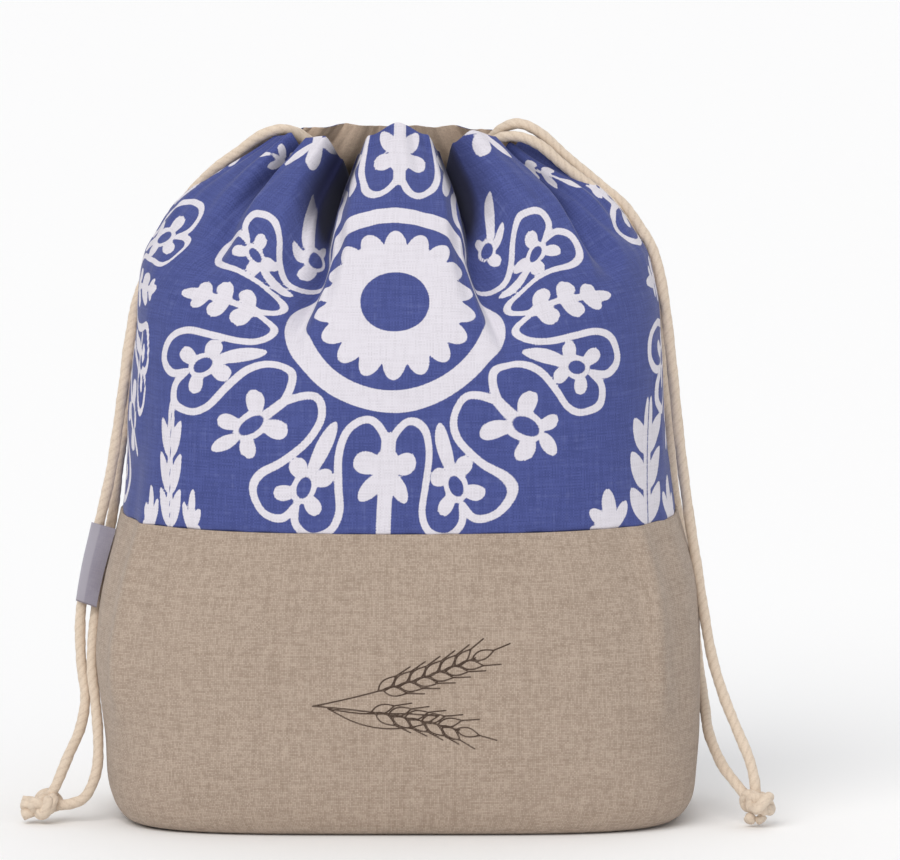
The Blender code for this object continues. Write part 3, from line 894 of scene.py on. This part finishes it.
def drawMotif(name, x, y):
    s = motifs[name]
    parts = [bar(x, y, *s["stem"])] if "stem" in s else []
    if "heart" in s:
        parts.append(oval(x, y, *s["heart"]))
    for sides, across, up, turn, *form in s["leaves"]:
        for side in (1, -1)[:sides]:
            parts.append(leaf(x - side * across, y - up, 90 - side * turn, *form))
    cuts = [-oval(x, y, *s["eye"])] if "eye" in s else []
    if "split" in s:
        cuts.append(-bar(x, y, *s["split"]))
    return np.minimum.reduce([union(*parts), *cuts])


def medallion(x, y):
    s = printLayout
    r = np.hypot(x, y)
    angle = np.degrees(np.arctan2(x, -y))          # 0 below the middle
    tooth = np.abs(np.mod(angle * s["petals"] / 360 + 0.5, 1) - 0.5) * 2
    rim = s["petalRoot"] + (s["petalTip"] - s["petalRoot"]) * (1 - tooth**2.0)
    rosette = np.minimum((rim - r) * 0.85, r - s["disc"])
    outerEdge = s["ringOuter"] - s["ringTop"] * smooth((y / np.maximum(r, 1) - 0.5) / 0.4)
    ring = np.minimum(outerEdge - r, r - s["ringInner"])
    # heads stand every 45 degrees and feet half way between, so each point is turned to the nearest axis
    headTurn = np.round(angle / 45)
    headAngle = np.radians(angle - headTurn * 45)
    footAngle = np.radians(angle - np.floor(angle / 45) * 45 - 22.5)
    head = (r * np.sin(headAngle), r * np.cos(headAngle))
    foot = (r * np.sin(footAngle), r * np.cos(footAngle))
    aside, far = np.radians([a for a, d in scrollTurn]), np.array([d for a, d in scrollTurn])
    turn = smoothCurve(np.stack([far * np.sin(aside), far * np.cos(aside)], 1), 1.5)
    scroll = s["line"] - nearLine(np.abs(head[0]), head[1], turn)
    which = np.mod(headTurn, 8)
    # the two upper outer flowers lie in the gathers and are drawn apart
    outer = np.where(np.abs(headTurn) == 3, -50.0, drawMotif("outerFlower", *head))
    upright = np.where(which % 4 == 0, drawMotif("fleuron", *head), drawMotif("sprig", *head))
    heads = np.where(which % 2 == 1, outer, upright)
    return union(rosette, ring, scroll, heads, drawMotif("innerFlower", *foot))


def printField(u, v):
    # signed distance in mm to the edge of the white print, positive in the white
    s = printLayout
    quarter = shape["quarter"]
    panel = np.where(u > quarter, u - 2 * quarter, np.where(u < -quarter, u + 2 * quarter, u))
    x = panel + s["wander"] * waves(panel, v, *s["strayAcross"])
    y = v + s["wander"] * waves(panel, v, *s["strayUp"])
    x = x + s["shift"] + s["footShift"] * (1 - smooth(v / s["footHeight"]))
    low = ramp(np.abs(x), 60, 25) * ramp(v, 96, -20)
    x = x / (s["stretch"] - np.where(x < 0, s["letOut"], s["drawnIn"]) * low)
    up = y - s["centre"]
    near = ramp(up, 51, 12) * ramp(np.abs(x), 42, -14)
    up = up - s["headLift"] * ramp(up, 46.5, 8) * ramp(np.abs(x), 40, -16)
    x = x + near * (s["headNarrow"] * x - s["headLean"])
    x = x * (1 + s["footNarrow"] * smooth(x / 10) * ramp(x, 62, -25) * ramp(-up, 42, 20))
    up = up * (1 + s["levelNarrow"] * ramp(np.abs(x), 42, 34) * ramp(np.abs(x), 105, -20))
    # on the left a soft pleat takes up part of the next medallion
    hidden = s["pleatLow"] + (s["pleatHigh"] - s["pleatLow"]) * ramp(v, 55, 75)
    beyond = x - hidden * ramp(-x, s["pleatAt"], s["pleatWide"])
    sag = s["leftSag"] * ramp(-x, 108, 16) * ramp(v, 88, 35)
    further = s["rightShift"] * ramp(v, 100, 25)
    fields = [medallion(x, up), medallion(beyond + s["repeat"], up + sag),
              medallion(x - s["repeat"] - further, up)]
    for foot, lean, narrow in s["sprigs"]:
        fields.append(drawMotif("standingSprig", (x - foot - lean * y / 55) * narrow, y))
    size = s["tridentSize"]
    for across, height, turn in s["tridents"]:
        fields.append(drawMotif("trident", *turned((x - across) / size, (y - height) / size, turn)) * size)
    for side, across, height, shorter in s["foldFlowers"]:
        fields.append(drawMotif("foldFlower", (x - across) * side - s["flowerLean"] * (y - height),
                                (y - height) * shorter))
    for across, height, heading, size in s["sprays"]:
        along, aside = turned((x - across) / size, (y - height) / size, heading)
        fields.append(drawMotif("spray", aside, along) * size)
    return union(*fields)


# upper panel

upperSet = {
    "columnMm": 0.8,
    "backColumnMm": 2.6,
    "fewestColumns": 8,
    "rowMm": 1.1,
    "footIn": 1.2,          # how far the foot turns in at the seam
    "frontTo": 1.02,        # share round the bag
    # the rim turns over and hangs down inside: mm outwards, mm upwards, mm on along the cloth
    "rim": ((-0.1, 0.35, 0.4), (-0.3, 0.46, 0.7), (-0.46, 0.3, 0.9), (-0.5, -0.2, 1.4), (-0.44, -1.4, 2.6)),
    # painted shade in the gathers: share of a fold's depth that darkens it, on the left and right, and a
    # mild darkening over all the gathers
    "leftShade": 0.72,
    "rightShade": 0.66,
    "gatherShade": 2.5,
    "darkest": 11.0,        # depth in mm at which a fold's painted shade is darkest
    "rimSpare": 8.0,        # flat cloth that the rim takes up
}


def slopesOf(grid):
    # change across and up a wrapped grid of rows
    return np.roll(grid, -1, 1) - np.roll(grid, 1, 1), np.gradient(grid, axis=0)


def normalsOf(grid):
    normal = np.cross(*slopesOf(grid))
    return normal / np.maximum(np.linalg.norm(normal, axis=2), 1e-9)[:, :, None]


creases = [   # one fold lying over the next, seen from the front: x and z in mm, drop, width, dropped side
    {"points": [(-41, 284), (-50, 275), (-62, 265), (-74, 255), (-82, 245)],
     "drop": 2.6, "wide": 9, "side": 1},
    {"points": [(42, 288), (53, 277), (67, 268), (76, 263), (89, 252), (99, 245), (106, 238)],
     "drop": 3.4, "wide": 10, "side": -1},
    {"points": [(-97, 252), (-104, 238), (-107, 222)], "drop": 1.6, "wide": 8, "side": 1},
]


def creaseDrop(grid, share):
    # how far each point of the front sinks beside the creases
    sunk = np.zeros(grid.shape[:2])
    front = np.broadcast_to(np.abs(share) < 1, sunk.shape)
    for crease in creases:
        line = smoothCurve(crease["points"], 2.0)
        way = np.diff(line, axis=0)
        # for each point, each piece of the line and x and z
        apart = grid[:, :, None, ::2] - line[:-1]
        t = np.clip((apart * way).sum(-1) / (way**2).sum(-1), 0, 1)
        far = np.hypot(*np.moveaxis(apart - t[..., None] * way, -1, 0))
        above = np.sign(way[:, 0] * apart[..., 1] - way[:, 1] * apart[..., 0])
        nearest = far.argmin(-1)
        best, above, t = (np.take_along_axis(v, nearest[..., None], -1)[..., 0] for v in (far, above, t))
        signed = best * above * -crease["side"]
        along = (nearest + t) / len(way)
        ends = smooth(along / 0.12) * ramp(along, 1, -0.3)
        step = np.where(signed > 0, np.exp(-signed / crease["wide"]) * smooth(signed / 2.2),
                        -0.22 * np.exp(signed / 5) * smooth(-signed / 2))
        sunk += np.where(front & (best < 60), step * ends * crease["drop"], 0)
    return sunk


# where the gathered cloth is taken up, going round from the front: share, width, low part, high part
spare = ((0.285, 0.045, 0.0, 0.56), (0.74, 0.05, 0.05, 0.24), (0.93, 0.07, 0.95, 0.20))
# cloth dragged down beside the centre pleat: middle and reach in x (left, right) and z, how far,
# and the share round the bag from which it grows
drag = {"across": (43.0, 41.0), "reachX": (19.0, 18.0), "height": 240.0, "reachZ": 23.0, "down": 22.0,
        "from": 0.25, "ease": 0.055}


def clothAcross(grid, share):
    # mm round the flat cloth from the front middle, each row's spare cloth taken up in its folds
    quarter = shape["quarter"]
    length = runLength(grid, 1)
    middle, left, right = (int(np.argmin(np.abs(share - q))) for q in (0, -1, 1))
    length = length - length[:, middle:middle + 1]
    high = smooth((grid[:, :, 2].mean(1) - 224) / 28)[:, None]
    # the last column meets the first at the back middle
    whole = np.linalg.norm(grid[:, 0] - grid[:, -1], axis=1) / 2
    u = np.empty_like(length)
    for side, seam, last, mine in ((-1, left, 0, share < 0), (1, right, -1, share >= 0)):
        spanned = np.abs(length[:, seam])[:, None]
        taken = np.zeros_like(length)
        for place, wide, low, top in spare:
            taken += (low + (top - low) * high) * smooth((np.abs(share)[None] - place + wide) / (2 * wide))
        own = np.abs(length) + (quarter - spanned) * taken
        back = np.abs(length) - spanned
        behind = quarter * (1 + np.maximum(back, 0) / (back[:, last] + whole)[:, None])
        value = side * np.where(np.abs(share) <= 1, own, behind)
        u[:, mine] = value[:, mine]
    return u


# unevenness of the cloth: seed, waves, shortest, longest, slant
swell = (3, 4, 60, 130, 0.9)
rumple = (4, 5, 7, 16, 0.12)
pucker = (5, 4, 9, 22, 0.2)
uneven = {   # mm out of the plain shape
    "swell": 0.55,
    "swellFrom": 20.0,      # mm above the seam, where it is full
    "rumple": 0.45,
    "rumpleFrom": 215.0,    # height, and over how many mm it grows
    "rumpleSpan": 70.0,
    "pucker": 0.22,
    "puckerReach": 7.0,
    "footIn": 0.9,          # the foot is drawn in by the stitches
    "footReach": 1.4,
    "seamIn": 0.5,          # and so is the cloth at the side seams
    "seamReach": 1.3,
    "backwards": 0.95,      # beside a crease, share of its drop
    "together": -0.3,
}


def clothGrid(counts, lowRows=None):
    # lowRows thins out the rows below the gathers
    row = foldRows(counts)
    s, w, d = shape, uneven, drag
    rise = s["mouthHeight"] - s["seamHeight"]
    heights = np.linspace(s["seamHeight"], s["mouthHeight"], round(rise / upperSet["rowMm"]) + 1)
    if lowRows:
        high = heights[heights > s["gatherLow"]]
        heights = np.concatenate([np.linspace(s["seamHeight"], high[0], lowRows, endpoint=False), high])
    u = row["seam"] * s["quarter"]
    rows, depths = [], []
    for height in heights:
        v = np.full_like(u, height - s["seamHeight"])
        push = w["swell"] * waves(u, v, *swell) * smooth(v / w["swellFrom"])
        push += w["rumple"] * ramp(height, w["rumpleFrom"], w["rumpleSpan"]) * waves(u, v, *rumple)
        push += w["pucker"] * np.exp(-v / w["puckerReach"]) * waves(u, v, *pucker)
        push -= w["footIn"] * np.exp(-v / w["footReach"])
        push -= w["seamIn"] * np.exp(-((np.abs(row["seam"]) - 1) * s["quarter"] / w["seamReach"]) ** 2)
        points, depth = wallRow(height, row, push)
        rows.append(points)
        depths.append(depth)
    grid = np.stack(rows)
    # beside a crease the cloth lies further back, so it never folds through itself
    seam = row["seam"]
    sunk = creaseDrop(grid, seam)
    aside = w["together"] * np.sign(grid[:, :, 0])
    grid = grid + np.stack([aside * sunk, w["backwards"] * sunk, 0 * sunk], 2)
    v = runLength(grid)
    across, reach = (np.where(seam < 0, *d[key]) for key in ("across", "reachX"))
    v += d["down"] * (ramp(np.abs(seam), d["from"], d["ease"]) * (np.abs(seam) < 1)
                      * np.exp(-((np.abs(grid[:, :, 0]) - across) / reach) ** 2
                               - ((grid[:, :, 2] - d["height"]) / d["reachZ"]) ** 2))
    return grid, clothAcross(grid, seam), v, np.stack(depths)


def evenEdges(field, grid):
    # turns the printed distance into one measured on the folded cloth, so that edges stay equally sharp
    slopes = [np.abs(change) / np.maximum(np.linalg.norm(step, axis=2), 0.05)
              for change, step in zip(slopesOf(field), slopesOf(grid))]
    return field / np.maximum(np.hypot(*slopes), 1.0)


def makeUpper():
    s = upperSet
    counts = []
    for low, high in zip(folds, folds[1:]):
        front = abs(low[0] + high[0]) / 2 < s["frontTo"]
        size = s["columnMm"] if front else s["backColumnMm"]
        counts.append(max(s["fewestColumns"], round((high[0] - low[0]) * shape["quarter"] / size)))
    grid, u, v, depth = clothGrid(counts)
    normal = normalsOf(grid)
    up = (grid[-1] - grid[-2]) / s["rowMm"]
    rim = [grid[-1] + normal[-1] * out + up * rise for out, rise, on in s["rim"]]
    whole = np.stack([grid[0] - normal[0] * s["footIn"], *grid, *rim])
    us = np.stack([u[0], *u, *[u[-1]] * len(rim)])
    vs = np.stack([v[0] - s["footIn"], *v, *[v[-1] + on for out, rise, on in s["rim"]]])
    # painted shade: the hollows beside the centre pleat are painted darkest towards the rim
    height = np.linspace(shape["seamHeight"], shape["mouthHeight"], len(grid))[:, None]
    seam = foldRows(counts)["seam"]
    depth = depth * (0.33 + 0.67 * ramp(height, 258, 25))
    depth = depth * np.where(seam < 0, s["leftShade"], s["rightShade"])
    depth += s["gatherShade"] * ramp(height, 238, 40) * ramp(np.abs(seam), 0.18, 0.1)
    shade = np.clip(np.stack([depth[0], *depth, *[depth[-1]] * len(rim)]) / s["darkest"], 0, 1)
    rows, columns = us.shape
    field = evenEdges(printField(us.ravel(), vs.ravel()).reshape(rows, columns), whole)
    piece = addPiece("upper_cloth", "upper_panel", whole, gridFaces(rows, columns), printed,
                     (us, vs), {"print": field, "paintedShade": shade})
    return counts


upperCounts = makeUpper()


# lining: plain linen a layer further in

liningSheet = {
    "lowRows": 24,
    "inwards": 0.72,
    "frontRim": -1.2,       # how far its top row is moved up, in front and behind
    "backRim": 0.8,
    "darkFrom": 8.0,        # mm down inside where the painted shade starts, and over how many more it grows dark
    "darkSpan": 13.0,
}


def makeLining():
    s = liningSheet
    grid, u, v = clothGrid(upperCounts, s["lowRows"])[:3]
    normal = normalsOf(grid)
    inner = grid - normal * s["inwards"]
    # it shows right up to the rim along the back, and stays lower in front
    behind = smooth((np.abs(foldRows(upperCounts)["seam"]) - 1.0) / 0.15)[:, None]
    inner[-1] += unit(grid[-1] - grid[-2]) * (s["frontRim"] + (s["backRim"] - s["frontRim"]) * behind)
    whole = np.stack([grid[0] - normal[0] * upperSet["footIn"], *inner])
    # painted shade: the lining is darker further down inside the bag
    inside = np.clip((whole[-1:, :, 2] - whole[:, :, 2] - s["darkFrom"]) / s["darkSpan"], 0, 1)
    places = np.stack([u[0], *u]), np.stack([v[0] - 1, *v])
    piece = addPiece("lining_cloth", "lining", whole, gridFaces(*whole.shape[:2]),
                     liningLinen, places, {"paintedShade": inside})


makeLining()
print("lining ready")


# lower panel

lowerSet = {
    "backColumn": 3.0,
    "column": 1.6,
    "fineColumn": 0.5,      # between the two sides of the drawing
    "fineSides": (-38.0, 49.0),
    "rows": ((0, 6, 0.75), (6, 36, 1.5), (36, 92, 0.5)),   # from, to, step; the last is the drawing's
    "topRow": 1.5,
    "baseRings": (0.25, 0.55, 0.8, 0.92, 0.97),
    "baseReach": 70.0,
    "swell": 0.6,
    "swellWaves": (21, 4, 70, 150, 0.8),
    "dimple": 0.12,
    "dimpleWaves": (22, 4, 14, 40, 1.2),
    "pucker": 0.2,
    "floorEase": (2.0, 14.0),   # the lowest cloth is pressed flat: from this height, over this many mm
    "seamEase": (6.0, 4.0),
    # the top edge rolls in over the seam: mm inwards, mm upwards, place along the cloth
    "rolled": ((0.35, 0.35, 130.4), (1.0, 0.25, 131.0), (1.5, -2.0, 133.0)),
}


inkSet = {   # each ear: root, lean from upright in degrees, length, pairs of grains
    "ears": [((-33.0, 57.0), 71, 76, 6), ((-33.0, 57.0), 101, 66, 5)],
    "leaf": [[(-27, 56), (-16, 50), (-4, 47.5), (9, 49), (16, 53)],
             [(-27, 56), (-14, 54), (2, 54), (16, 53)]],
    "firstGrain": 0.36,     # share of the stalk
    "grainSpan": 0.50,
    "grainLean": 0.46,      # radians
    "grainLong": 9.4,
    "grainWide": 3.9,
    "awn": 7.0,
    "bow": 9.0,
    "furthest": 9.0,
    "box": (-45, 55, 35, 100),
}


def earLines(root, lean, length, pairs):
    # one wheat ear as thin lines: a bowed stalk, pointed grains in pairs, one at the tip, and awns
    s = inkSet
    angle = math.radians(lean)
    ahead = np.array((math.sin(angle), math.cos(angle)))
    side = np.array((math.cos(angle), -math.sin(angle)))
    bend = s["bow"] if lean < 90 else -s["bow"]

    def stalk(t):
        return np.array(root) + ahead * t * length + side * bend * (t - t * t)

    lines = [[stalk(t) for t in np.linspace(0, 0.88, 12)]]
    for k in range(pairs + 1):
        t = s["firstGrain"] + s["grainSpan"] * k / pairs
        way = unit(stalk(t + 0.02) - stalk(t))
        across = np.array((way[1], -way[0]))
        for hand in ((-1, 1) if k < pairs else (0,)):
            out = way * math.cos(s["grainLean"] * hand) + across * math.sin(s["grainLean"] * hand)
            wide = np.array((out[1], -out[0])) * s["grainWide"] / 2
            start = stalk(t + 0.012 * hand)
            for bow in (-wide, wide):
                lines.append([start + out * s["grainLong"] * q + bow * math.sin(math.pi * q**0.85)
                              for q in np.linspace(0, 1, 9)])
            tip = start + out * s["grainLong"]
            lines.append([tip, tip + (out * 0.7 + way * 0.3) * s["awn"]])
    return lines


def inkField(u, z):
    # distance in mm to the nearest drawn line: two ears of wheat and a leaf
    s = inkSet
    lines = [line for ear in s["ears"] for line in earLines(*ear)]
    lines += [smoothCurve(edge, 2.0) for edge in s["leaf"]]
    best = np.full(u.shape, s["furthest"])
    left, right, low, high = s["box"]
    near = (u > left) & (u < right) & (z > low) & (z < high)
    for line in lines:
        best[near] = np.minimum(best[near], nearLine(u[near], z[near], line))
    return best


def axisSteps(breaks):
    # places along an axis: (from, to, step) runs joined
    runs = [np.linspace(a, b, max(2, round((b - a) / step) + 1))[:-1] for a, b, step in breaks]
    return np.concatenate([*runs, [breaks[-1][1]]])


def makeLower():
    s, q = lowerSet, shape["quarter"]
    left, right = s["fineSides"]
    across = axisSteps([(-2 * q, -q, s["backColumn"]), (-q, left, s["column"]),
                        (left, right, s["fineColumn"]), (right, q, s["column"]),
                        (q, 2 * q, s["backColumn"])])[:-1]
    heights = axisSteps([*s["rows"], (s["rows"][-1][1], shape["seamHeight"], s["topRow"])])
    row = plainRows(across / q)
    seam = uneven["seamIn"] * np.exp(-((np.abs(across) - q) / uneven["seamReach"]) ** 2)
    wall = []
    for height in heights:
        v = np.full_like(across, height)
        lift = ramp(height, *s["floorEase"])
        push = lift * s["swell"] * waves(across, v, *s["swellWaves"])
        push += lift * s["dimple"] * waves(across, v, *s["dimpleWaves"])
        near = math.exp((height - shape["seamHeight"]) / uneven["puckerReach"])
        push += s["pucker"] * near * waves(across, v, *pucker)
        push -= seam * ramp(height, *s["seamEase"])
        wall.append(wallRow(height, row, push)[0])
    top, topOut = wall[-1], normalsOf(np.stack(wall))[-1]
    base = [wall[0] * (part, part, 0) for part in s["baseRings"]]
    rolled = [top - topOut * inwards + (0, 0, up) for inwards, up, place in s["rolled"]]
    whole = np.stack([*base, *wall, *rolled])
    rows, columns = whole.shape[:2]
    baseV = [-(1 - part) * s["baseReach"] for part in s["baseRings"]]
    places = np.concatenate([baseV, heights, [place for inwards, up, place in s["rolled"]]])
    v, u = np.meshgrid(places, across, indexing="ij")
    ink = inkField(u.ravel(), v.ravel())
    faces = gridFaces(rows, columns)
    faces.append(tuple(range(columns))[::-1])
    piece = addPiece("lower_cloth", "lower_panel", whole, faces, linen, (u, v),
                     {"ink": ink})
    print("lower cloth", rows, "x", columns)


makeLower()


# side label: a folded tape sewn into the left seam

labelSet = {
    "top": 125.0, "drop": 34.0, "width": 10.4, "face": -10.0, "root": 1.4, "rise": 1.5, "bow": 0.7,
    "ripple": 0.25, "taper": 0.15, "thick": 0.45, "part": 0.12, "sewn": 0.05, "rows": 44, "columns": 16,
}


def makeLabel():
    s = labelSet
    row = plainRows(-np.linspace(0.7, 1, 61))
    q = np.linspace(0, 1, s["columns"] + 1)
    # two layers that part a little between the fold and the seam
    gap = s["thick"] / 2 + s["part"] * np.sin(math.pi * q)
    gap[-1] = s["sewn"]
    loops = []
    for t in np.linspace(0, 1, s["rows"] + 1):
        height = s["top"] - s["drop"] * t
        wall = wallRow(height, row)[0]
        root = wall[np.argmin(np.abs(wall[:, 1] - s["face"])), 0] - s["root"]
        x = root - s["width"] * (1 - s["taper"] * t) * q
        bow = s["bow"] * math.sin(math.pi * t) * np.sin(math.pi * q) + s["ripple"] * np.sin(9 * t + 2 * q)
        z = height + s["rise"] * (2 * q - 1)
        front, back = (np.stack([x, s["face"] - bow + side * gap, z], 1) for side in (-1, 1))
        loops.append(np.vstack([front, back[::-1]]))
    u = np.concatenate([10 * (1 - q), -10 * q])
    v, u = np.meshgrid(np.linspace(s["drop"], 0, s["rows"] + 1), u, indexing="ij")
    piece = addPiece("side_tape", "side_label", np.stack(loops), gridFaces(*u.shape, False),
                     tape, (u, v))


makeLabel()
print("label sewn")


# floor and lights

lightSet = [   # name, direction it comes from, strength, softness in degrees, colour
    ("key", (-0.50, -1.0, 1.05), 1.60, 45, (1.0, 0.985, 0.965)),
    ("fill", (1.0, -0.9, 0.55), 0.40, 80, (0.97, 0.98, 1.0)),
    ("top", (0.1, 0.5, 1.0), 0.80, 70, (1.0, 1.0, 1.0)),
]
stageSet = {
    "halfSize": 30,     # metres
    "floor": (0.965, 0.965, 0.965),
    "roughness": 0.8,
    "world": (0.97, 0.98, 1.0),
    "worldStrength": 0.42,
}


def makeStage():
    s = stageSet
    mesh = bpy.data.meshes.new("floor")
    h = s["halfSize"]
    mesh.from_pydata([(-h, -h, 0), (h, -h, 0), (h, h, 0), (-h, h, 0)], [], [(0, 1, 2, 3)])
    material, tree = newMaterial("pale floor")
    shader = tree.nodes["Principled BSDF"]
    shader.inputs["Base Color"].default_value = (*s["floor"], 1)
    shader.inputs["Roughness"].default_value = s["roughness"]
    mesh.materials.append(material)
    addObject("floor", mesh)
    world = bpy.data.worlds.new("studio")
    world.use_nodes = True
    background = world.node_tree.nodes["Background"]
    background.inputs[0].default_value = (*s["world"], 1)
    background.inputs[1].default_value = s["worldStrength"]
    bpy.context.scene.world = world
    for name, place, strength, softness, colour in lightSet:
        data = bpy.data.lights.new(name, "SUN")
        data.energy = strength
        data.angle = math.radians(softness)
        data.color = colour
        lamp = addObject(name, data)
        lamp.location = place
        lamp.rotation_euler = (-Vector(place)).to_track_quat("-Z", "Y").to_euler()
    bpy.context.scene.view_settings.view_transform = "Standard"


makeStage()
print("stage set")
